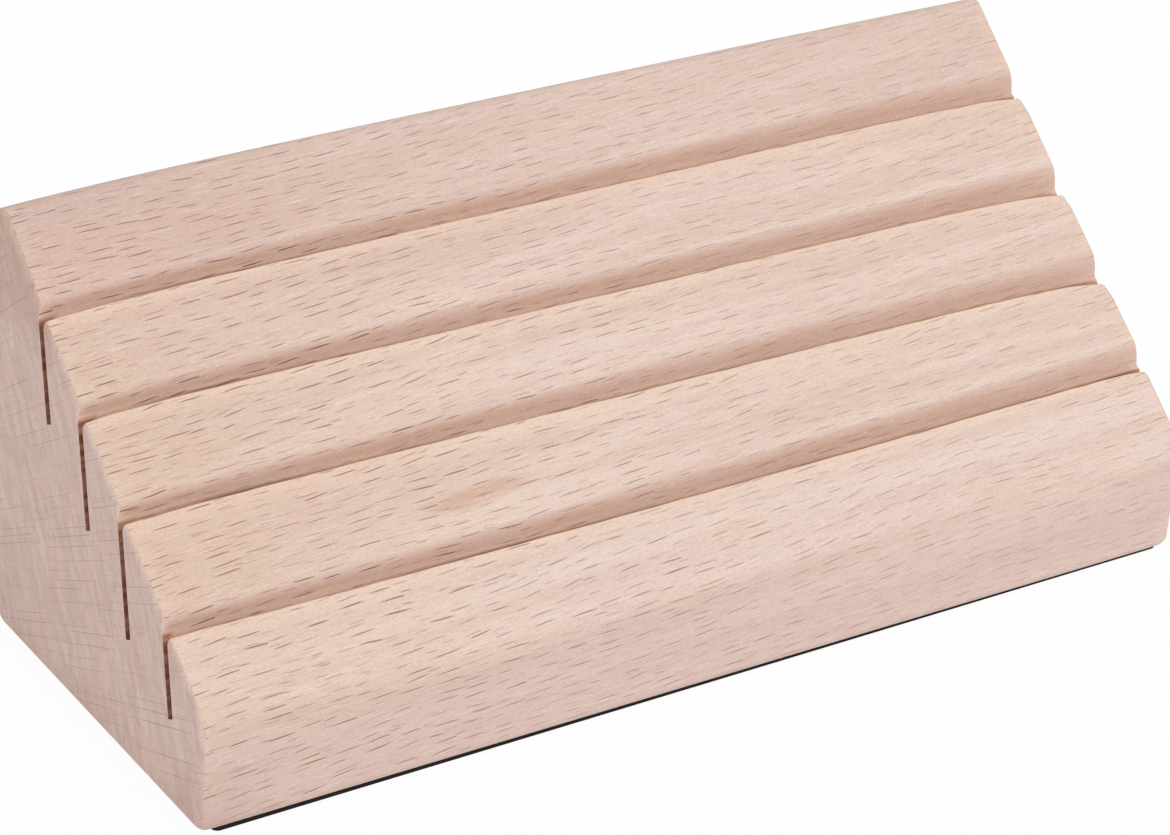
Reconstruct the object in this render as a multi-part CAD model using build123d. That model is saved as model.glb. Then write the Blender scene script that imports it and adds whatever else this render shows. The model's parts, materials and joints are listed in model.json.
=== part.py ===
from build123d import *

import os
from math import atan2, cos, degrees, radians, sin, tan

# Wooden photo block: a wedge of beech whose sloped front has leaning saw slots that hold photos or cards
# in tiers. A thin non-slip sheet is stuck under it with an adhesive film.
# Millimetres. X runs along the block, Y from front to back, Z up. The origin lies on the table, under the
# middle of the block.

# Block
block_length = 149.8
block_depth = 55.0
block_height = 62.4  # wood alone, underside to the sharp top edge
front_height = 16.2  # upright front face, up to where the slope starts

# Slots. Each distance runs along the slope, from its front edge to the lip, and each depth from the lip.
front_slot_distance = 11.4
second_slot_distance = 26.6
third_slot_distance = 40.3
rear_slot_distance = 54.6
front_slot_depth = 11.0
second_slot_depth = 15.9
third_slot_depth = 15.2
rear_slot_depth = 14.5
slot_width = 1.2
slot_lean = 9.25  # degrees from upright, with the top towards the back

# Riser above each slot, where the back wall leans away from the card
knee_height = 0.45  # up the back wall, from the level of the lip to where the riser starts
crest_distance = 2.5  # along the slope, from the lip to the top of the riser

# Eased edges
knee_radius = 6.0  # from slot wall to riser, or as much as the riser has room for
crest_radius = 1.4  # from riser to slope
lip_radius = 0.2
front_edge_radius = 4.0  # between front face and slope
top_edge_radius = 1.5
bottom_edge_radius = 1.6  # front and back edges of the underside
end_radius = 0.7  # all round both ends

# Non-slip sheet and its adhesive
sheet_inset = 1.6  # from the outline of the block
sheet_thickness = 0.8
sheet_corner_radius = 1.0
film_thickness = 0.12
film_inset = 0.3  # from the outline of the sheet

# Cutting
cut_margin = 1.0  # how far a cutter runs past the wood
foot_margin = 0.2  # straight wall under the roll of a knee, before the slot is sawn
riser_margin = 0.1  # straight riser left between the rolls of knee and crest, at the least

# Values that follow from the sizes above
wood_bottom = sheet_thickness + film_thickness
front_y = -block_depth / 2
slope_angle = degrees(atan2(block_height - front_height, block_depth))
slot_distances = [front_slot_distance, second_slot_distance, third_slot_distance, rear_slot_distance]
slot_depths = [front_slot_depth, second_slot_depth, third_slot_depth, rear_slot_depth]
slot_cut_length = block_length + 2 * cut_margin
slot_cut_height = crest_distance + cut_margin  # above the lip

up_slope = Vector(cos(radians(slope_angle)), sin(radians(slope_angle)))
up_slot = Vector(sin(radians(slot_lean)), cos(radians(slot_lean)))
across_slot = Vector(cos(radians(slot_lean)), -sin(radians(slot_lean)))

# The section's points are (back from the front face, up from the wood's underside)
slope_start = Vector(0, front_height)
riser = up_slope * crest_distance - across_slot * slot_width - up_slot * knee_height
crest_turn = riser.get_angle(up_slope)
crest_tangent = crest_radius * tan(radians(crest_turn / 2))
knee_turn = up_slot.get_angle(riser)
knee_room = riser.length - crest_tangent - riser_margin
knee_roll = min(knee_radius, knee_room / tan(radians(knee_turn / 2)))
knee_tangent = knee_roll * tan(radians(knee_turn / 2))
lip_turn = 180 - up_slot.get_angle(up_slope)
lip_tangent = lip_radius * tan(radians(lip_turn / 2))


def lip_point(distance):
    """Sharp lip of the slot at a distance along the slope."""
    return slope_start + up_slope * distance


def knee_point(distance):
    """Sharp corner between a slot's back wall and the riser above it."""
    return lip_point(distance) + across_slot * slot_width + up_slot * knee_height


def crest_point(distance):
    """Sharp corner between a riser and the slope above it."""
    return lip_point(distance) + up_slope * crest_distance


def on_section(points):
    """Moves section points into the plane of the section, which is Y and Z."""
    return [Vector(p.X + front_y, p.Y + wood_bottom) for p in points]


def rounded(face, corners, radius):
    """Rounds the corners of a section that lie at the given section points."""
    places = on_section(corners)
    chosen = [min(face.vertices(), key=lambda v: (Vector(v.X, v.Y) - place).length) for place in places]
    return fillet(chosen, radius)


def moulded_section():
    """Section of the wood before the slots are sawn: a wedge with a rounded step above each slot."""
    back_bottom = Vector(block_depth, 0)
    back_top = Vector(block_depth, block_height)
    points = [Vector(0, 0), slope_start]
    for distance in slot_distances:
        foot = knee_point(distance) - up_slot * (knee_tangent + foot_margin)
        points += [lip_point(distance), foot, knee_point(distance), crest_point(distance)]
    points += [back_top, back_bottom]
    face = make_face(Polyline(*on_section(points), close=True))
    face = rounded(face, [crest_point(distance) for distance in slot_distances], crest_radius)
    face = rounded(face, [knee_point(distance) for distance in slot_distances], knee_roll)
    face = rounded(face, [slope_start], front_edge_radius)
    face = rounded(face, [back_top], top_edge_radius)
    return rounded(face, [Vector(0, 0), back_bottom], bottom_edge_radius)


def slot_section(distance, depth):
    """Section of one saw slot, with the roll of its eased lip."""
    lip = lip_point(distance)
    wall_end = lip - up_slot * lip_tangent
    slope_end = lip - up_slope * lip_tangent
    centre = wall_end - across_slot * lip_radius
    roll_middle = centre + (lip - centre).normalized() * lip_radius
    front_bottom = lip - up_slot * depth
    back_bottom = front_bottom + across_slot * slot_width
    back_top = lip + across_slot * slot_width + up_slot * slot_cut_height
    front_top = slope_end + up_slot * slot_cut_height
    walls = Polyline(*on_section([wall_end, front_bottom, back_bottom, back_top, front_top, slope_end]))
    roll = ThreePointArc(*on_section([slope_end, roll_middle, wall_end]))
    return make_face(walls.edges() + roll.edges())


def along_x(face, length):
    """Extrudes a section both ways from the middle of the block."""
    return extrude(Plane.YZ * face, amount=length / 2, both=True)


def cut_on_slot_walls(block):
    """Divides the wood on the planes of its slot walls, into convex solids that meet face to face."""
    solids = [block]
    for distance in slot_distances:
        for offset in (0, slot_width):
            place = on_section([lip_point(distance) + across_slot * offset])[0]
            wall = Plane(origin=(0, place.X, place.Y), z_dir=(0, across_slot.X, across_slot.Y))
            solids = [piece for solid in solids for piece in split(solid, wall, Keep.BOTH).solids()]
    return Compound(children=solids)


def beech_block():
    """The wood: a moulded wedge with eased ends and sawn slots. It is one piece, kept as convex solids."""
    block = along_x(moulded_section(), block_length)
    ends = block.faces().sort_by(Axis.X)
    block = fillet(ends[0].edges() + ends[-1].edges(), end_radius)
    for distance, depth in zip(slot_distances, slot_depths):
        block -= along_x(slot_section(distance, depth), slot_cut_length)
    return cut_on_slot_walls(block)


def flat_sheet(inset, thickness, bottom, corner_radius):
    """A flat sheet with rounded corners, inset from the outline of the block."""
    outline = RectangleRounded(block_length - 2 * inset, block_depth - 2 * inset, corner_radius)
    return Pos(0, 0, bottom) * extrude(outline, amount=thickness)


parts = {
    "beech_block": beech_block(),
    "adhesive_film": flat_sheet(sheet_inset + film_inset, film_thickness, sheet_thickness,
                                sheet_corner_radius - film_inset),
    "non_slip_sheet": flat_sheet(sheet_inset, sheet_thickness, 0.0, sheet_corner_radius),
}

os.makedirs("parts", exist_ok=True)
for name, shape in parts.items():
    export_step(shape, f"parts/{name}.step")
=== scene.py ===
import json
from collections import namedtuple
from math import atan2, cos, exp, pi, radians, sin, sqrt, tan

import bpy
from mathutils import Matrix, Vector, noise


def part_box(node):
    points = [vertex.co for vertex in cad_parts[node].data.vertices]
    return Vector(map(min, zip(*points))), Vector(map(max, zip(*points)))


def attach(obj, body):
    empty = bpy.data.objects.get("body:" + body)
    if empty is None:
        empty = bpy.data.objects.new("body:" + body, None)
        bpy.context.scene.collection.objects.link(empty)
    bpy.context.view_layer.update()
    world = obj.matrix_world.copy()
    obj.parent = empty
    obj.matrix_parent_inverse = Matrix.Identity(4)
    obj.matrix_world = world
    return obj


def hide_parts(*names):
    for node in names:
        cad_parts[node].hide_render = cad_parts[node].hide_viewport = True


# Wooden photo block: a wedge of sanded beech with four leaning saw slots, on a thin non-slip sheet.
# Metres. X runs along the block, Y from front to back, Z up. Angles are in degrees.

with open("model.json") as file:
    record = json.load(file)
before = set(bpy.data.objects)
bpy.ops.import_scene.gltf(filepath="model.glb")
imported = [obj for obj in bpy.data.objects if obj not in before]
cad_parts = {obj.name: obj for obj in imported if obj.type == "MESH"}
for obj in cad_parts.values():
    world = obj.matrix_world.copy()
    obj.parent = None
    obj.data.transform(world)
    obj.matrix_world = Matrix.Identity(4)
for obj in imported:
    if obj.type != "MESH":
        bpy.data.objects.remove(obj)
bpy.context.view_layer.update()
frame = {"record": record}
mm = 0.001

# Camera, where it stood for the photograph. Azimuth 0 looks along +Y.
photo_width = 1170
focal_pixels = 4113.6
sensor_width = 36.0
camera_azimuth = -34.72
camera_elevation = 28.76
camera_roll = 3.98
camera_distance = 531.7 * mm
camera_aim = Vector((-4.39, 0.0, 27.21)) * mm

# Studio. Each lamp is its place, its width and its energy.
floor_reach = 4.0
floor_level = -0.1 * mm
floor_whiteness = 0.96  # plain white in the floor that is seen, and the rest takes the shadow
sky_light = 0.56  # strength on the object, where the sky that is seen has 1
key_lamp = ((0.55, -0.95, 1.2), 1.2, 11.0)
fill_lamp = ((-1.15, -0.45, 0.5), 1.0, 2.2)

# Wood, in the section. In front of each slot is its lip. Behind it a riser goes from a knee up to a crest,
# where the next tier starts.
slot_width = 1.2 * mm
knee_height = 0.45 * mm
crest_distance = 2.5 * mm
knee_radius = 6.0 * mm
crest_fill = 0.85  # share of the straight riser that the crest's roll takes up
lip_radius = 0.2 * mm
front_edge_radius = 4.0 * mm
top_edge_radius = 1.5 * mm
bottom_edge_radius = 1.75 * mm
floor_tilt = 0.35 * mm  # how much deeper a slot is at its back wall
arc_steps = 8
wood_sharp_angle = 40.0

# Where a straight run between two kinds of corner has points between its ends
run_shares = {
    ("lip", "slot"): (0.3, 0.6),
    ("slot", "slot"): (0.5,),
    ("slot", "knee"): (0.4, 0.8, 0.93, 0.97, 0.985),
    ("knee", "crest"): (0.5,),
}
face_run_shares = (0.2, 0.4, 0.6, 0.8)

# How sawing and sanding by hand change the section along the block, from the front slot to the rear one
slot_skews = (0.0039, -0.0045, -0.006, 0.003)
slot_bows = (0.5 * mm, 0.0, 0.0, 0.0)
left_sag_shares = (0.15, 0.65, 1.0, 1.0)
right_sag_shares = (0.15, 0.65, 0.75, 0.5)
lip_sag = 0.6 * mm
left_face_sag = 0.6 * mm
right_face_sag = 0.22 * mm
end_sag_length = 11.0 * mm
crest_spread = 0.008
bottom_spread = -0.003
top_left_sag = 1.15 * mm
top_right_sag = 0.15 * mm
top_sag_length = 22.0 * mm
right_lip_rolls = (0.5 * mm, 0.65 * mm, 0.45 * mm, 0.45 * mm)
right_roll_length = 4.0 * mm
lip_wear = 0.05 * mm
lip_wear_length = 4.0 * mm

# How far the ends are rounded, and between which heights above the lip that sets in on a riser
left_end_radius = 0.8 * mm
left_top_end_radius = 1.4 * mm
left_top_ease = (50.0 * mm, 60.0 * mm)  # heights above the table, where the radius goes up to the top one
left_top_facing = 0.6  # how far forward a face looks there, to have the whole of it
right_end_radius = 0.7 * mm
underside_end_radius = 1.85 * mm
left_lip_end_radius = 0.5 * mm
right_lip_end_radius = 0.8 * mm
right_riser_end_radius = 1.0 * mm
right_tier_end_radius = 0.25 * mm
left_riser_ease = (0.0, 1.35 * mm)
right_riser_ease = (-1.0 * mm, -0.5 * mm)
end_ease_steps = 12
station_step = 1.0 * mm

# How the wood is marked, with painted shade on the risers and painted light at their feet: heights are from
# the lip, and a riser's shares are of the height of its crest
burn_start = -0.8 * mm
burn_full = -1.0 * mm
left_burn_rise = 0.7 * mm
left_burn_length = 3.0 * mm
# painted light at the riser's foot, against the shade of the slot's mouth
lit_foot_start = 0.35 * mm
lit_foot_full = -0.45 * mm
# the riser's browner tone with painted shade, between these shares
brown_shade_start = 1.05
brown_shade_full = 0.55
right_fade = 0.42
right_fade_length = 10.0 * mm
left_fade = 0.6
left_fade_length = 1.5 * mm
end_wear = 0.6
end_wear_length = 2.2 * mm

# Sheet and film
sheet_left_inset = 2.8 * mm
sheet_right_inset = 0.2 * mm
sheet_skew = 0.0013
sheet_corner_radius = 1.0 * mm
sheet_edge_radius = 0.15 * mm
sheet_edge_steps = 4
sheet_sharp_angle = 50.0
film_inset = 0.3 * mm
corner_steps = 8

# How the tree grew through the block, in millimetres
pith_back = 175.0
pith_up = -70.0
grain_tilt = 3.0
grain_wander = 4.0
ring_width = 2.8

# Brown smear in front of the second slot, in millimetres
smear_middle = (-28.8, -13.3)
smear_half_length = 11.5
smear_half_width = 1.4

# Marks of the rays, staggered like bricks, each with a length and a strength of its own
ray_stagger = 0.5
ray_scatter = 0.75
ray_length_shares = (0.6, 1.5)
ray_chances = (0.4, 1.6)  # between these a mark goes from its faintest to full strength
ray_core = 0.2  # share of a mark that is fully dark
ray_normal = (0.0, 0.66, 0.75)  # a face that looks this way shows no ray
ray_facing = (0.97, 0.85)

# Where the colour changes, in millimetres: where each change starts and where it is full. The first tier's
# lighter band is painted light.
warm_left_along = (0.0, -65.0)
heart_out = (209.0, 203.0)  # from the pith
front_up = (20.0, 15.0)
# painted light on the first tier, between these heights
lit_first_tier_foot = (14.0, 18.0)
lit_first_tier_top = (27.0, 22.0)
dark_top_up = (44.0, 52.0)
dark_corner_along = (-62.0, -74.0)
dark_corner_back = (-17.0, -26.0)
dark_corner_up = (14.0, 2.0)
ray_fade_along = (-70.0, 60.0)
dark_ray_along = (50.0, -50.0)


def photo_camera():
    """The camera at the photograph's place, with its slight roll."""
    azimuth = radians(camera_azimuth)
    elevation = radians(camera_elevation)
    roll = radians(camera_roll)
    forward = Vector((-sin(azimuth) * cos(elevation), cos(azimuth) * cos(elevation), -sin(elevation)))
    level_right = Vector((cos(azimuth), sin(azimuth), 0))
    level_up = level_right.cross(forward)
    right = level_right * cos(roll) + level_up * sin(roll)
    up = level_up * cos(roll) - level_right * sin(roll)
    data = bpy.data.cameras.new("photo_camera")
    data.sensor_width = sensor_width
    data.lens = focal_pixels / photo_width * sensor_width
    camera = bpy.data.objects.new("photo_camera", data)
    bpy.context.scene.collection.objects.link(camera)
    turn = Matrix((right, up, -forward)).transposed().to_4x4()
    camera.matrix_world = Matrix.Translation(camera_aim - forward * camera_distance) @ turn
    bpy.context.scene.camera = camera


class Graph:
    """The nodes of a material or of the world, with short calls for the kinds that are in use."""

    def __init__(self, owner, output="ShaderNodeOutputMaterial"):
        owner.use_nodes = True
        self.owner = owner
        self.tree = owner.node_tree
        self.tree.nodes.clear()
        self.output = self.node(output)

    def put(self, socket, value):
        """Links another node's output to a socket, or sets a plain value on it."""
        if isinstance(value, bpy.types.NodeSocket):
            self.tree.links.new(value, socket)
        else:
            socket.default_value = value

    def node(self, kind, inputs=None, **settings):
        made = self.tree.nodes.new(kind)
        for key, value in settings.items():
            setattr(made, key, value)
        for key, value in (inputs or {}).items():
            self.put(made.inputs[key], value)
        return made

    def math(self, operation, *values):
        made = self.node("ShaderNodeMath", operation=operation)
        for socket, value in zip(made.inputs, values):
            self.put(socket, value)
        return made.outputs[0]

    def add(self, first, second):
        return self.math("ADD", first, second)

    def times(self, first, second):
        return self.math("MULTIPLY", first, second)

    def squares(self, first, second):
        """The sum of the squares of two values."""
        return self.add(self.times(first, first), self.times(second, second))

    def ramp(self, value, low, high, from_value=0.0, to_value=1.0):
        """A smooth step from one value to another, as the input goes from low to high."""
        made = self.node("ShaderNodeMapRange", interpolation_type="SMOOTHSTEP")
        for socket, setting in zip(made.inputs, (value, low, high, from_value, to_value)):
            self.put(socket, setting)
        return made.outputs[0]

    def point(self, x, y, z):
        return self.node("ShaderNodeCombineXYZ", {0: x, 1: y, 2: z}).outputs[0]

    def parts(self, vector):
        return self.node("ShaderNodeSeparateXYZ", {0: vector}).outputs

    def vector_math(self, operation, *vectors):
        return self.node("ShaderNodeVectorMath", dict(enumerate(vectors)), operation=operation).outputs

    def stretched(self, vector, lengths, shift=(0.0, 0.0, 0.0)):
        """A point divided by a length for each direction, then shifted."""
        scale = tuple(1 / length for length in lengths)
        return self.vector_math("MULTIPLY_ADD", vector, scale, shift)[0]

    def noise(self, vector, lengths, detail=2.0, shift=(0.0, 0.0, 0.0)):
        """Cloudy noise, with a size in millimetres for each direction."""
        inputs = {"Vector": self.stretched(vector, lengths, shift), "Scale": 1.0, "Detail": detail}
        return self.node("ShaderNodeTexNoise", inputs).outputs[0]

    def mix(self, amount, first, second, blend="MIX"):
        """Mixes two colours, through the sockets that the node has for colours."""
        made = self.node("ShaderNodeMix", data_type="RGBA", blend_type=blend)
        for index, value in ((0, amount), (6, first), (7, second)):
            self.put(made.inputs[index], value)
        return made.outputs[2]

    def attribute(self, name):
        return self.node("ShaderNodeAttribute", attribute_name=name).outputs["Fac"]

    def finish(self, shader):
        """Ends the nodes with a shader, and gives back the material or world that they are for."""
        self.put(self.output.inputs["Surface"], shader)
        return self.owner


def linear(red, green, blue):
    """A colour written as it looks on screen, from 0 to 255, as the linear colour that a socket takes."""
    values = [value / 255 for value in (red, green, blue)]
    return tuple(v / 12.92 if v <= 0.04045 else ((v + 0.055) / 1.055) ** 2.4 for v in values) + (1.0,)


def millimetres(graph):
    """Each point's place on the object, in millimetres."""
    return graph.stretched(graph.node("ShaderNodeTexCoord").outputs["Object"], (mm, mm, mm))


def ray_marks(graph, wood, spacing, size, faintest, shift):
    """Spindle marks where the wood's rays come to the surface, with a half length and a half width."""
    length_step, width_step = spacing
    half_length, half_width = size
    u, v, _ = graph.parts(graph.stretched(wood, (length_step, width_step, 1.0), shift))
    staggered = graph.point(u, graph.math("SUBTRACT", v, graph.times(u, ray_stagger)), 0.0)
    cells = graph.node(
        "ShaderNodeTexVoronoi",
        {"Vector": staggered, "Scale": 1.0, "Randomness": ray_scatter},
        voronoi_dimensions="2D",
    )
    offset = graph.vector_math("SUBTRACT", staggered, cells.outputs["Position"])[0]
    along_mark, sheared, _ = graph.parts(offset)
    across_mark = graph.add(sheared, graph.times(along_mark, ray_stagger))
    chance = graph.parts(cells.outputs["Color"])
    reaches = [share * half_length / length_step for share in ray_length_shares]
    length_share = graph.math("DIVIDE", along_mark, graph.ramp(chance[0], 0.0, 1.0, *reaches))
    width_share = graph.times(across_mark, width_step / half_width)
    strength = graph.ramp(graph.add(chance[0], chance[1]), *ray_chances, faintest, 1.0)
    return graph.times(graph.ramp(graph.squares(length_share, width_share), 1.0, ray_core), strength)


def wood_coordinates(graph, place):
    """(along the grain, round the pith, out from the pith) of each point, in millimetres."""
    x, y, z = graph.parts(place)
    towards_front = graph.math("SUBTRACT", pith_back, y)
    up = graph.math("SUBTRACT", z, pith_up)
    out = graph.math("SQRT", graph.squares(towards_front, up))
    turn = graph.math("ARCTAN2", up, towards_front)
    round_pith = graph.times(turn, sqrt(pith_back ** 2 + pith_up ** 2))
    leaning = graph.math("SUBTRACT", round_pith, graph.times(x, tan(radians(grain_tilt))))
    wander = graph.noise(graph.point(x, leaning, 0.0), (60.0, 20.0, 1.0), 1.0)
    wavy = graph.add(leaning, graph.times(wander, grain_wander))
    return graph.point(x, wavy, out)


def smear(graph, place):
    """How far a point lies in the brown smear in front of the second slot."""
    x, y, _ = graph.parts(place)
    along = graph.add(x, -smear_middle[0])
    grain_drift = graph.times(along, -tan(radians(grain_tilt)))
    across_grain = graph.add(graph.add(y, -smear_middle[1]), grain_drift)
    long_share = graph.times(along, 1 / smear_half_length)
    wide_share = graph.times(across_grain, 1 / smear_half_width)
    ragged = graph.add(graph.squares(long_share, wide_share), graph.noise(place, (3.0, 0.8, 0.8), 3.0))
    return graph.ramp(ragged, 1.5, 0.3)


def side_grain(graph, place, wood, fibre):
    """The colour of the faces along the grain: cream and pink clouds, faint growth rings, fine fibres, and
    painted light on the first tier.
    """
    along, _, out = graph.parts(wood)
    clouds = graph.noise(wood, (32.0, 6.0, 6.0), 3.0)
    streaks = graph.noise(wood, (70.0, 2.4, 2.4), 3.0, (2.0, 9.0, 4.0))
    colour = graph.mix(graph.ramp(streaks, 0.36, 0.64), linear(225, 197, 185), linear(233, 210, 197))
    left = graph.ramp(graph.add(along, graph.times(clouds, 30.0)), *warm_left_along)
    colour = graph.mix(graph.times(left, 0.8), colour, linear(223, 193, 172))
    heart = graph.ramp(graph.add(out, graph.times(clouds, 8.0)), *heart_out)
    mauve = graph.times(heart, graph.add(0.35, graph.times(left, 0.6)))
    colour = graph.mix(mauve, colour, linear(213, 183, 173))
    height = graph.parts(place)[2]
    low = graph.ramp(graph.add(height, graph.times(clouds, 9.0)), *front_up)
    colour = graph.mix(graph.times(low, 0.75), colour, linear(223, 197, 189))
    # painted light: the first tier made lighter
    lit_first_tier = graph.times(graph.ramp(height, *lit_first_tier_foot), graph.ramp(height, *lit_first_tier_top))
    colour = graph.mix(graph.times(lit_first_tier, 0.5), colour, linear(234, 212, 200))

    drift = graph.noise(wood, (120.0, 30.0, 14.0), 2.0)
    ring = graph.math("FRACT", graph.add(graph.math("DIVIDE", out, ring_width), graph.times(drift, 2.4)))
    late_wood = graph.times(graph.ramp(ring, 0.35, 0.9), graph.ramp(ring, 1.0, 0.93))
    colour = graph.mix(graph.times(late_wood, 0.12), colour, linear(205, 170, 152))

    stain = graph.noise(wood, (26.0, 2.2, 4.0), 2.0, (5.0, 3.0, 1.0))
    colour = graph.mix(graph.ramp(stain, 0.62, 0.8, 0.0, 0.4), colour, linear(222, 184, 158))
    colour = graph.mix(graph.times(smear(graph, place), 0.7), colour, linear(206, 162, 138))
    colour = graph.mix(graph.ramp(fibre, 0.45, 0.25, 0.0, 0.45), colour, linear(244, 226, 214))
    return graph.mix(graph.ramp(fibre, 0.45, 0.75, 0.0, 0.25), colour, linear(206, 174, 158))


def wear_and_painted_light_and_shade(graph, wood, sideways, colour):
    """The colour along the grain, with worn ends, a painted highlight on the lips, painted shade over the
    risers, a browner tone with painted shade lower on them, and painted light at their feet.
    """
    uneven = graph.ramp(graph.noise(wood, (16.0, 1.4, 1.4), 3.0, (1.0, 2.0, 8.0)), 0.3, 0.7, 0.6, 1.0)
    for mark, amount, tint in (
        # a lighter cream tint: real wear at the ends, and a painted highlight along the lips
        ("wear_and_highlight", 0.7, linear(241, 212, 189)),
        # painted shade: a greyish half-tone over the riser and the roll of its crest
        ("riser", 0.85, linear(212, 183, 170)),
        # a browner tone of the burnished riser, darkened with painted shade where less light bounces in
        ("brown_and_shade", uneven, linear(202, 164, 144)),
        # painted light: the riser's foot by the slot made pale against the shade there
        ("lit_foot", uneven, linear(244, 210, 187)),
    ):
        share = graph.times(graph.attribute(mark), sideways)
        colour = graph.mix(graph.times(share, amount), colour, tint)
    return colour


def end_grain(graph, wood):
    """The colour of the cut ends: uneven streaks along the growth rings, crossed by fine broken rays."""
    _, turned, out = graph.parts(wood)
    sway = graph.noise(wood, (900.0, 9.0, 5.0), 2.0)
    swaying = graph.point(0.0, turned, graph.add(out, graph.times(sway, 2.5)))
    streaks = graph.noise(swaying, (1.0, 7.0, 1.6), 4.0)
    bands = graph.noise(swaying, (1.0, 18.0, 2.4), 2.0, (0.0, 3.0, 6.0))
    blotches = graph.noise(wood, (900.0, 8.0, 6.0), 3.0)
    fibres = graph.noise(swaying, (1.0, 2.2, 0.26), 3.0)
    colour = graph.mix(graph.ramp(streaks, 0.3, 0.7), linear(214, 183, 172), linear(232, 208, 196))
    colour = graph.mix(graph.ramp(bands, 0.42, 0.62, 0.0, 0.5), colour, linear(215, 193, 181))
    colour = graph.mix(graph.ramp(blotches, 0.45, 0.7, 0.0, 0.6), colour, linear(231, 199, 191))
    colour = graph.mix(graph.ramp(fibres, 0.48, 0.72, 0.0, 0.6), colour, linear(194, 162, 151))
    radial = graph.point(out, turned, 0.0)
    long_rays = ray_marks(graph, radial, (17.0, 1.4), (8.5, 0.06), 0.2, (2.3, 5.1, 0.0))
    short_rays = ray_marks(graph, radial, (6.0, 1.0), (2.0, 0.05), 0.0, (7.7, 1.9, 0.0))
    rays = graph.math("MAXIMUM", long_rays, graph.times(short_rays, 0.5))
    return graph.mix(graph.times(rays, 0.7), colour, linear(160, 132, 122))


def darkened(graph, place, wood, on_end, colour):
    """The colour, darker at the top of the ends and at the lower left corner of the front."""
    x, y, z = graph.parts(place)
    height = graph.add(z, graph.noise(wood, (900.0, 3.0, 3.0), 3.0, (0.0, 4.0, 2.0)))
    top = graph.times(on_end, graph.ramp(height, *dark_top_up))
    colour = graph.mix(top, colour, linear(240, 232, 228), "MULTIPLY")
    left_front = graph.times(graph.ramp(x, *dark_corner_along), graph.ramp(y, *dark_corner_back))
    corner = graph.times(left_front, graph.ramp(height, *dark_corner_up))
    return graph.mix(corner, colour, linear(239, 235, 234), "MULTIPLY")


def side_rays(graph, wood, normal):
    """How strongly the dark marks of the rays show on a face along the grain."""
    along, turned, out = graph.parts(wood)
    bends = graph.times(graph.noise(wood, (8.0, 3.0, 3.0), 1.0), 0.7)
    bent = graph.point(along, graph.add(turned, bends), out)
    long_rays = ray_marks(graph, bent, (4.8, 1.1), (1.75, 0.08), 0.35, (3.1, 7.7, 0.0))
    short_rays = ray_marks(graph, bent, (3.7, 0.9), (1.1, 0.055), 0.1, (11.3, 2.9, 0.0))
    rays = graph.math("MAXIMUM", long_rays, graph.times(short_rays, 0.5))
    rays = graph.times(rays, graph.ramp(along, *ray_fade_along, 0.95, 0.5))
    facing = graph.math("ABSOLUTE", graph.vector_math("DOT_PRODUCT", normal, ray_normal)["Value"])
    return graph.times(rays, graph.ramp(facing, *ray_facing))


def side_ray_colour(graph, wood):
    """The colour of the rays' marks, darker on the risers towards the left."""
    along = graph.parts(wood)[0]
    on_riser = graph.times(graph.attribute("riser"), graph.ramp(along, *dark_ray_along))
    return graph.mix(on_riser, linear(146, 107, 90), linear(106, 62, 44))


def burnt(graph, wood):
    """The colour of the slot walls, scorched by the saw."""
    scorch = graph.noise(wood, (12.0, 0.9, 0.9), 3.0)
    return graph.mix(graph.ramp(scorch, 0.35, 0.65), linear(140, 91, 70), linear(191, 140, 113))


def beech():
    """Sanded, unvarnished beech: a solid grain that runs through the block, cut by its faces, with painted
    shade and light on the risers, lips and first tier.
    """
    graph = Graph(bpy.data.materials.new("beech"))
    place = millimetres(graph)
    wood = wood_coordinates(graph, place)
    normal = graph.node("ShaderNodeNewGeometry").outputs["Normal"]
    on_end = graph.ramp(graph.math("ABSOLUTE", graph.parts(normal)[0]), 0.2, 0.45)
    sideways = graph.math("SUBTRACT", 1.0, on_end)
    fibre = graph.noise(wood, (5.0, 0.24, 0.24), 4.0)
    pores = graph.noise(wood, (0.5, 0.14, 0.14), 2.0)
    rays = graph.times(side_rays(graph, wood, normal), sideways)

    colour = wear_and_painted_light_and_shade(graph, wood, sideways, side_grain(graph, place, wood, fibre))
    colour = graph.mix(on_end, colour, end_grain(graph, wood))
    colour = darkened(graph, place, wood, on_end, colour)
    colour = graph.mix(graph.ramp(pores, 0.45, 0.75, 0.0, 0.35), colour, linear(200, 166, 150))
    colour = graph.mix(graph.ramp(pores, 0.45, 0.2, 0.0, 0.4), colour, linear(245, 229, 218))
    colour = graph.mix(rays, colour, side_ray_colour(graph, wood))
    colour = graph.mix(graph.times(graph.attribute("sawn"), sideways), colour, burnt(graph, wood))

    roughness = graph.ramp(graph.add(fibre, graph.times(rays, -0.2)), 0.2, 0.8, 0.55, 0.75)
    grain_height = graph.add(graph.times(fibre, 0.5), graph.times(pores, 0.5))
    bump = graph.node("ShaderNodeBump", {
        "Height": graph.add(grain_height, graph.times(rays, -0.6)),
        "Strength": 0.35,
        "Distance": 0.06 * mm,
    })
    surface = graph.node("ShaderNodeBsdfPrincipled", {
        "Base Color": colour,
        "Roughness": roughness,
        "Specular IOR Level": 0.25,
        "Normal": bump.outputs[0],
    })
    return graph.finish(surface.outputs[0])


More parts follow.
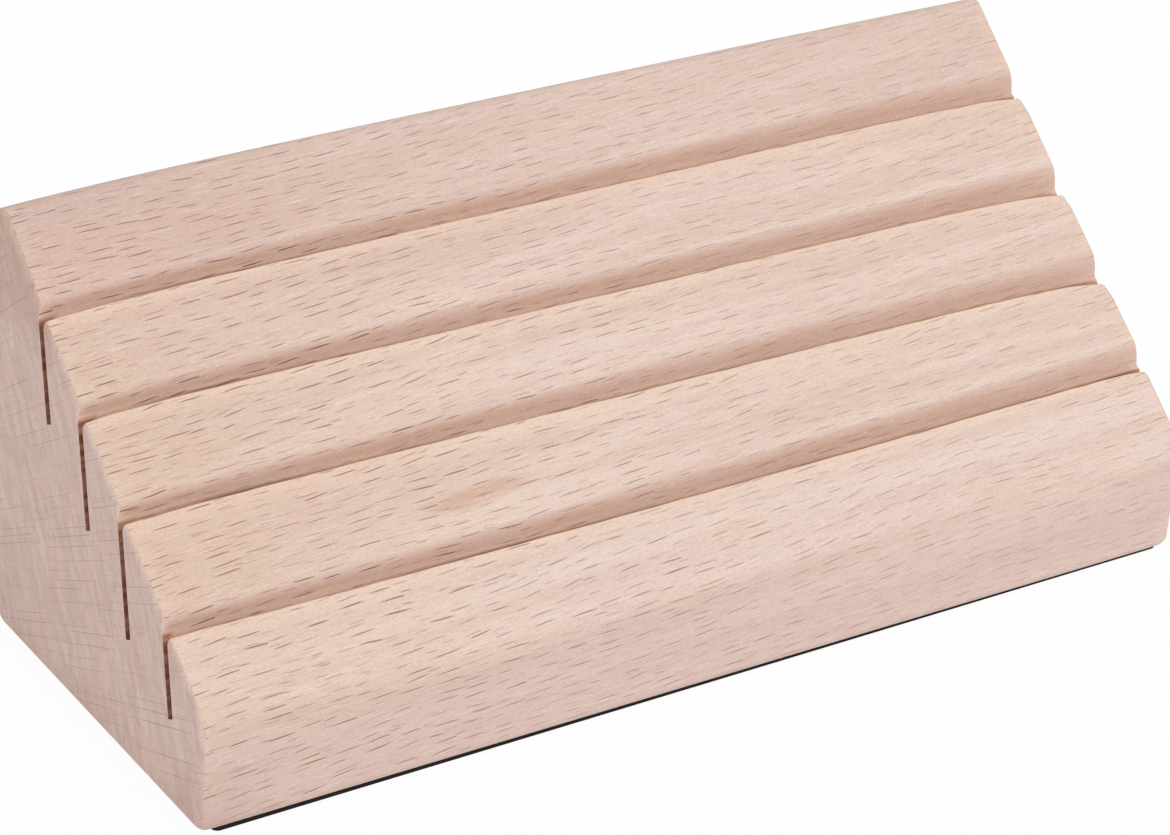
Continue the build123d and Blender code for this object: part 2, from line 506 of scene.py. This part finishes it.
def foam_rubber():
    """Matt black closed-cell foam: fine cells, with faint patches."""
    graph = Graph(bpy.data.materials.new("foam_rubber"))
    place = millimetres(graph)
    cells = graph.node("ShaderNodeTexVoronoi", {"Vector": place, "Scale": 4.0})
    patches = graph.noise(place, (9.0, 9.0, 9.0), 3.0)
    bump = graph.node("ShaderNodeBump", {
        "Height": cells.outputs["Distance"],
        "Strength": 0.4,
        "Distance": 0.08 * mm,
    })
    surface = graph.node("ShaderNodeBsdfPrincipled", {
        "Base Color": graph.mix(patches, linear(24, 21, 21), linear(34, 30, 29)),
        "Roughness": graph.ramp(patches, 0.2, 0.8, 0.7, 0.9),
        "Specular IOR Level": 0.2,
        "Normal": bump.outputs[0],
    })
    return graph.finish(surface.outputs[0])


def adhesive():
    """Cloudy film of glue."""
    graph = Graph(bpy.data.materials.new("adhesive"))
    cloud = graph.noise(millimetres(graph), (4.0, 4.0, 4.0), 4.0)
    surface = graph.node("ShaderNodeBsdfPrincipled", {
        "Base Color": graph.mix(cloud, linear(224, 218, 196), linear(238, 234, 220)),
        "Roughness": graph.ramp(cloud, 0.3, 0.7, 0.3, 0.5),
    })
    return graph.finish(surface.outputs[0])


# A slot, with what the hand work does to it
Slot = namedtuple("Slot", "lip depth skew bow left_sag right_sag right_roll")
# A sharp corner of the section. Those of a slot have its lip, and the height of its crest above the lip.
Corner = namedtuple("Corner", "place radius kind lip rise")
# A point of the rounded section: its share of the way along an arc or a run, and its height above the lip
Sample = namedtuple("Sample", "place normal kind share height rise")


def step(value, start, end):
    """A straight ramp from 0 to 1, as the value goes from start to end."""
    return min(1.0, max(0.0, (value - start) / (end - start)))


def across(direction):
    """The direction turned a quarter to the left, which is outwards on the way round the section."""
    return Vector((-direction.y, direction.x))


def end_depth(distance, radius):
    """How far an edge rounded by a radius lies inside the section, at a distance from the end."""
    inside = max(0.0, 1 - distance / radius)
    return radius * (1 - sqrt(1 - inside ** 2))


def riser_end_depth(sample, distance, at_right):
    """The same on a riser, whose foot stays straight down in the slot."""
    if at_right:
        up_riser = step(sample.height, 0, sample.rise)
        radius = right_riser_end_radius + (right_tier_end_radius - right_riser_end_radius) * up_riser
        return end_depth(distance, radius) * step(sample.height, *right_riser_ease)
    return end_depth(distance, left_end_radius) * step(sample.height, *left_riser_ease)


def round_corner(before, corner, after):
    """The arc that eases a corner, as (place, normal, share) from one side to the other."""
    arriving = (corner.place - before.place).normalized()
    leaving = (after.place - corner.place).normalized()
    if corner.radius == 0:
        return [(corner.place, across(arriving), 0.5)]
    turn = atan2(arriving.x * leaving.y - arriving.y * leaving.x, arriving.dot(leaving))
    outward = across(arriving) * (1 if turn < 0 else -1)
    start = corner.place - arriving * corner.radius * tan(abs(turn) / 2)
    centre = start - outward * corner.radius
    found = []
    for index in range(arc_steps + 1):
        share = index / arc_steps
        spoke = outward.copy()
        spoke.rotate(Matrix.Rotation(turn * share, 2))
        found.append((centre + spoke * corner.radius, spoke, share))
    return found


class Section:
    """The block's section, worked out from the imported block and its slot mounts. Its points are (Y, Z)."""

    def __init__(self):
        low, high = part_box("beech_block")
        self.ends = (low.x, high.x)
        self.front, self.back, self.bottom = low.y, high.y, low.z
        mounts = [mount for mount in frame["record"]["mounts"] if mount["kind"] == "slide"]
        self.up_slot = Vector(mounts[0]["axis"][1:])
        self.across_slot = Vector((self.up_slot.y, -self.up_slot.x))
        lips = [Vector(mount["pos_m"][1:]) - self.across_slot * slot_width / 2 for mount in mounts]
        depths = [mount["dims"]["length_mm"] * mm for mount in mounts]
        hand_work = zip(slot_skews, slot_bows, left_sag_shares, right_sag_shares, right_lip_rolls)
        self.slots = [Slot(lip, depth, *work) for lip, depth, work in zip(lips, depths, hand_work)]
        self.first_lip = lips[0]
        self.up_slope = (lips[-1] - lips[0]).normalized()
        self.lip_slide = -self.up_slot / sin(self.up_slope.angle(self.up_slot))

    def from_ends(self, x):
        """How far a place along the block lies from the left end and from the right one."""
        return x - self.ends[0], self.ends[1] - x

    def on_slope(self, y):
        """The point of the sloped front at a distance from front to back."""
        rise = self.up_slope.y / self.up_slope.x
        return Vector((y, self.first_lip.y + (y - self.first_lip.x) * rise))

    def corners(self, x):
        """The sharp corners at a place along the block, round from the bottom front to the bottom back."""
        left, right = self.from_ends(x)
        bottom_rounding = bottom_edge_radius + bottom_spread * x
        top = self.on_slope(self.back)
        top.y -= top_left_sag * exp(-left / top_sag_length) + top_right_sag * exp(-right / top_sag_length)
        found = [
            Corner(Vector((self.front, self.bottom)), bottom_rounding, "outside", None, None),
            Corner(self.on_slope(self.front), front_edge_radius, "outside", None, None),
        ]
        for slot in self.slots:
            found += self.slot_corners(slot, x)
        found += [
            Corner(top, top_edge_radius, "outside", None, None),
            Corner(Vector((self.back, self.bottom)), bottom_rounding, "outside", None, None),
        ]
        for index, corner in enumerate(found):
            if corner.kind == "crest":
                radius = self.crest_radius(found[index - 1].place, corner.place, found[index + 1].place)
                found[index] = corner._replace(radius=radius)
        return found

    def slot_corners(self, slot, x):
        """The corners of a slot and of the riser above it, with the crest's radius still open."""
        left, right = self.from_ends(x)
        left_droop = slot.left_sag * exp(-left / end_sag_length)
        right_droop = slot.right_sag * exp(-right / end_sag_length)
        straight_lip = slot.lip + self.up_slope * (slot.skew * x + slot.bow * (x / self.ends[1]) ** 2)
        lip = straight_lip + self.lip_slide * lip_sag * (left_droop + right_droop)
        lip_rounding = lip_radius + (slot.right_roll - lip_radius) * exp(-right / right_roll_length)
        front_floor = straight_lip - self.up_slot * slot.depth
        back_floor = front_floor + self.across_slot * slot_width - self.up_slot * floor_tilt
        face_drop = left_face_sag * left_droop + right_face_sag * right_droop
        face = straight_lip + self.lip_slide * face_drop
        knee = face + self.across_slot * slot_width + self.up_slot * knee_height
        crest = face + self.up_slope * (crest_distance + crest_spread * x)
        rise = (crest - lip).dot(self.up_slot)
        return [
            Corner(lip, lip_rounding, "lip", lip, rise),
            Corner(front_floor, 0, "slot", lip, rise),
            Corner(back_floor, 0, "slot", lip, rise),
            Corner(knee, knee_radius, "knee", lip, rise),
            Corner(crest, None, "crest", lip, rise),
        ]

    def crest_radius(self, knee, crest, following):
        """The roll of a crest, which takes up most of what the roll of the knee leaves of the riser."""
        riser = crest - knee
        room = riser.length - knee_radius * tan(self.up_slot.angle(riser) / 2)
        return crest_fill * room / tan(riser.angle(following - crest) / 2)

    def sample(self, place, normal, kind, share, corner):
        height = (place - corner.lip).dot(self.up_slot) if corner.lip else 0.0
        return Sample(place, normal, kind, share, height, corner.rise)

    def samples(self, x):
        """The rounded section at a place along the block, with points along its straight runs."""
        corners = self.corners(x)
        arcs = []
        for index, corner in enumerate(corners):
            arcs.append(round_corner(corners[index - 1], corner, corners[(index + 1) % len(corners)]))
        found = []
        for index, arc in enumerate(arcs):
            corner = corners[index]
            following = (index + 1) % len(corners)
            for place, normal, share in arc:
                found.append(self.sample(place, normal, corner.kind, share, corner))
            start, end = arc[-1][0], arcs[following][0][0]
            kinds = (corner.kind, corners[following].kind)
            kind = "riser" if "knee" in kinds else "slot" if "slot" in kinds else "outside"
            outward = across((end - start).normalized())
            for share in run_shares.get(kinds, face_run_shares):
                found.append(self.sample(start.lerp(end, share), outward, kind, share, corner))
        return found

    def outside_end_radius(self, sample, at_right):
        """How far an end is rounded at a point of the front, a tier, the back or the underside."""
        if at_right:
            on_tier = sample.place.x > self.first_lip.x and sample.normal.x < 0
            radius = right_tier_end_radius if on_tier else right_end_radius
        else:
            share = step(sample.place.y, *left_top_ease) * step(-sample.normal.x, 0, left_top_facing)
            radius = left_end_radius + (left_top_end_radius - left_end_radius) * share
        return radius + (underside_end_radius - radius) * max(0.0, -sample.normal.y)

    def eased(self, sample, distance, at_right, wear):
        """Where a point of the section moves, where the rounded end takes some wood off."""
        if sample.kind == "slot":
            return sample.place
        if sample.kind == "lip":
            radius = right_lip_end_radius if at_right else left_lip_end_radius
            return sample.place + self.lip_slide * (end_depth(distance, radius) + wear)
        if sample.kind == "outside":
            depth = end_depth(distance, self.outside_end_radius(sample, at_right))
        else:
            depth = riser_end_depth(sample, distance, at_right)
        return sample.place - sample.normal * depth


def marks(sample, left, right):
    """How far a point is burnt by the saw, has a riser's painted shade, its browner tone with painted shade
    or the painted light at its foot, or is worn or has a lip's painted highlight.
    """
    # wear near the ends, and a painted highlight on every lip
    wear_and_highlight = 1.0 if sample.kind == "lip" else end_wear * step(min(left, right), end_wear_length, 0)
    if sample.kind in ("outside", "lip"):
        return {"sawn": 0.0, "riser": 0.0, "brown_and_shade": 0.0, "lit_foot": 0.0, "wear_and_highlight": wear_and_highlight}
    fade = 1 - right_fade * exp(-right / right_fade_length) - left_fade * step(left, left_fade_length, 0)
    crest = step(sample.share, 1, 0.5) if sample.kind == "crest" else 1.0
    burn_height = sample.height - left_burn_rise * step(left, left_burn_length, 0)
    # on a riser: painted shade over it, a browner tone with painted shade lower down, and painted light at
    # its foot
    return {
        "sawn": step(burn_height, burn_start, burn_full),
        "riser": crest * fade,
        "brown_and_shade": step(sample.height / sample.rise, brown_shade_start, brown_shade_full) * fade,
        "lit_foot": step(sample.height, lit_foot_start, lit_foot_full),
        "wear_and_highlight": wear_and_highlight,
    }


def stations(half_length):
    """Distances from an end at which the section is taken, closer together where the end is eased."""
    turns = [index / end_ease_steps * pi / 2 for index in range(end_ease_steps + 1)]
    found = [underside_end_radius * (1 - cos(turn)) for turn in turns]
    rest = half_length - found[-1]
    count = round(rest / station_step)
    return found + [found[-1] + rest * index / count for index in range(1, count + 1)]


def closed_skin(name, points, rows):
    """A closed mesh through rows of points that each go round the piece, with its two caps last."""
    count = len(points) // rows
    faces = []
    for row in range(rows - 1):
        start = row * count
        beyond = start + count
        for index in range(count):
            following = (index + 1) % count
            faces.append((start + index, beyond + index, beyond + following, start + following))
    faces.append(tuple(range(count)))
    faces.append(tuple(reversed(range(len(points) - count, len(points)))))
    mesh = bpy.data.meshes.new(name)
    mesh.from_pydata(points, [], faces)
    mesh.shade_smooth()
    return mesh


def piece(name, mesh, material, node):
    """Puts a mesh into the scene in place of a node of the frame."""
    mesh.validate()
    made = bpy.data.objects.new(name, mesh)
    bpy.context.scene.collection.objects.link(made)
    mesh.materials.append(material)
    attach(made, "root")
    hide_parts(node)


def beech_block(material):
    """The wood as one closed skin, with eased ends, drooping lips and crisp slots."""
    section = Section()
    low, high = section.ends
    one_end = stations((high - low) / 2)
    places = [low + distance for distance in one_end]
    places += [high - distance for distance in reversed(one_end[:-1])]
    points = []
    marked = []
    for x in places:
        left, right = section.from_ends(x)
        for sample in section.samples(x):
            wear = lip_wear * noise.noise(Vector((x, *sample.place)) / lip_wear_length)
            y, z = section.eased(sample, min(left, right), right < left, wear)
            points.append((x, y, z))
            marked.append(marks(sample, left, right))
    mesh = closed_skin("beech_block_skin", points, len(places))
    for name in marked[0]:
        values = [mark[name] for mark in marked]
        mesh.attributes.new(name, "FLOAT", "POINT").data.foreach_set("value", values)
    mesh.set_sharp_from_angle(angle=radians(wood_sharp_angle))
    for cap in mesh.polygons[-2:]:
        cap.use_smooth = False
    piece("beech_block_skin", mesh, material, "beech_block")


def sheet_outline(inset):
    """The outline of the sheet, which was stuck on a little askew, drawn in by an inset."""
    wood_low, wood_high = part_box("beech_block")
    low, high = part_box("non_slip_sheet")
    left = wood_low.x + sheet_left_inset + sheet_corner_radius
    right = wood_high.x - sheet_right_inset - sheet_corner_radius
    front, back = low.y + sheet_corner_radius, high.y - sheet_corner_radius
    found = []
    for quarter, centre in enumerate(((right, back), (left, back), (left, front), (right, front))):
        for index in range(corner_steps + 1):
            turn = (quarter + index / corner_steps) * pi / 2
            place = Vector(centre) + Vector((cos(turn), sin(turn))) * (sheet_corner_radius - inset)
            found.append(Vector((place.x, place.y + place.x * sheet_skew)))
    return found


def flat_sheet(name, levels, material, node):
    """A closed sheet through the given levels from top to bottom, each an (inset, height)."""
    points = []
    for inset, z in levels:
        points += [(place.x, place.y, z) for place in sheet_outline(inset)]
    mesh = closed_skin(name, points, len(levels))
    mesh.set_sharp_from_angle(angle=radians(sheet_sharp_angle))
    piece(name, mesh, material, node)


def non_slip_sheet(material):
    """The sheet under the block, with softly rounded cut edges."""
    low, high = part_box("non_slip_sheet")
    roll = []
    for index in range(sheet_edge_steps + 1):
        turn = index / sheet_edge_steps * pi / 2
        roll.append((sheet_edge_radius * (1 - sin(turn)), sheet_edge_radius * (1 - cos(turn))))
    levels = [(inset, high.z - depth) for inset, depth in roll]
    levels += [(inset, low.z + depth) for inset, depth in reversed(roll)]
    flat_sheet("foam_sheet", levels, material, "non_slip_sheet")


def adhesive_film(material):
    """The film of glue between sheet and wood."""
    low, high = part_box("adhesive_film")
    levels = [(film_inset, high.z), (film_inset, low.z)]
    flat_sheet("glue_film", levels, material, "adhesive_film")


def seen(graph):
    """1 for what the camera, a reflection or a clear piece sees, 0 for what lights the object."""
    path = graph.node("ShaderNodeLightPath").outputs
    mirrored = graph.math("MAXIMUM", path["Is Camera Ray"], path["Is Glossy Ray"])
    return graph.math("MAXIMUM", mirrored, path["Is Transmission Ray"])


def white_floor():
    """The floor, nearly plain white where it is seen, with the object's faint shadow."""
    graph = Graph(bpy.data.materials.new("floor"))
    share = graph.times(seen(graph), floor_whiteness)
    matt = graph.node("ShaderNodeBsdfDiffuse", {"Color": linear(250, 250, 250)})
    glow = graph.node("ShaderNodeEmission")
    both = graph.node("ShaderNodeMixShader", {0: share, 1: matt.outputs[0], 2: glow.outputs[0]})
    sides = ((-1, -1), (1, -1), (1, 1), (-1, 1))
    corners = [(x * floor_reach, y * floor_reach, floor_level) for x, y in sides]
    mesh = bpy.data.meshes.new("floor")
    mesh.from_pydata(corners, [], [(0, 1, 2, 3)])
    mesh.materials.append(graph.finish(both.outputs[0]))
    floor = bpy.data.objects.new("floor", mesh)
    bpy.context.scene.collection.objects.link(floor)


def white_sky():
    """Even light from all round, plain white where it is seen."""
    graph = Graph(bpy.data.worlds.new("studio"), "ShaderNodeOutputWorld")
    background = graph.node("ShaderNodeBackground", {
        "Color": linear(255, 255, 255),
        "Strength": graph.ramp(seen(graph), 0.0, 1.0, sky_light, 1.0),
    })
    bpy.context.scene.world = graph.finish(background.outputs[0])


def lamp(name, location, size, energy):
    """A round soft lamp that points at the object."""
    data = bpy.data.lights.new(name, "AREA")
    data.shape = "DISK"
    data.size = size
    data.energy = energy
    made = bpy.data.objects.new(name, data)
    made.location = location
    made.rotation_euler = (-made.location).to_track_quat("-Z", "Y").to_euler()
    bpy.context.scene.collection.objects.link(made)


photo_camera()
white_floor()
white_sky()
lamp("key", *key_lamp)
lamp("fill", *fill_lamp)
beech_block(beech())
non_slip_sheet(foam_rubber())
adhesive_film(adhesive())
bpy.context.scene.view_settings.view_transform = "Standard"
